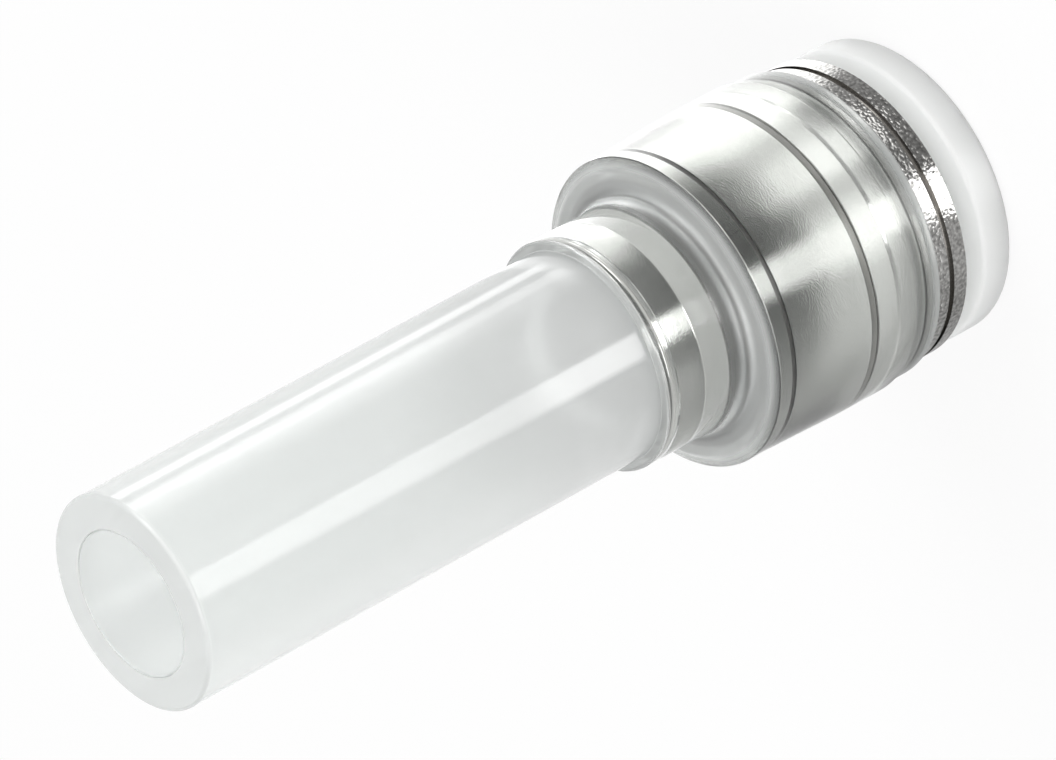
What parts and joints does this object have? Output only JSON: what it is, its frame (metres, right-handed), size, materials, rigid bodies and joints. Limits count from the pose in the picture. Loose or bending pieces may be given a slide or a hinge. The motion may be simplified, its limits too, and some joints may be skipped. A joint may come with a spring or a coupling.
{
  "type": "push-in fitting",
  "caption": "Clear plug-in tube fitting: a plain stem that pushes into another fitting and a push-in tube socket with steel grip parts and a release ring.",
  "frame": {"origin": "middle of the release ring's flat outer face, on which the fitting stands", "axes": "+Z along the fitting's axis from the release ring to the end of the stem; the part is round about Z"},
  "size_m": [0.015, 0.015, 0.0444],
  "materials": {
    "clear_plastic": "clear, polished moulding",
    "sleeve_steel": "drawn stainless steel, fine grain",
    "ring_steel": "stainless steel, grained band",
    "spring_steel": "stamped spring steel",
    "support_plastic": "plain moulding",
    "seal_rubber": "moulded rubber",
    "release_plastic": "milky white, satin"
  },
  "bodies": {
    "fitting_body": {"housing": "clear_plastic", "front_sleeve": "sleeve_steel", "end_ring": "ring_steel", "claw_ring": "spring_steel", "support_ring": "support_plastic", "lip_seal": "seal_rubber"},
    "release": {"release_ring": "release_plastic"}
  },
  "joints": [
    {"name": "release_press", "type": "slide", "parent": "fitting_body", "child": "release", "axis": [0, 0, 1], "range_m": [0, 0.001], "stiffness_N_per_m": 4000}
  ]
}
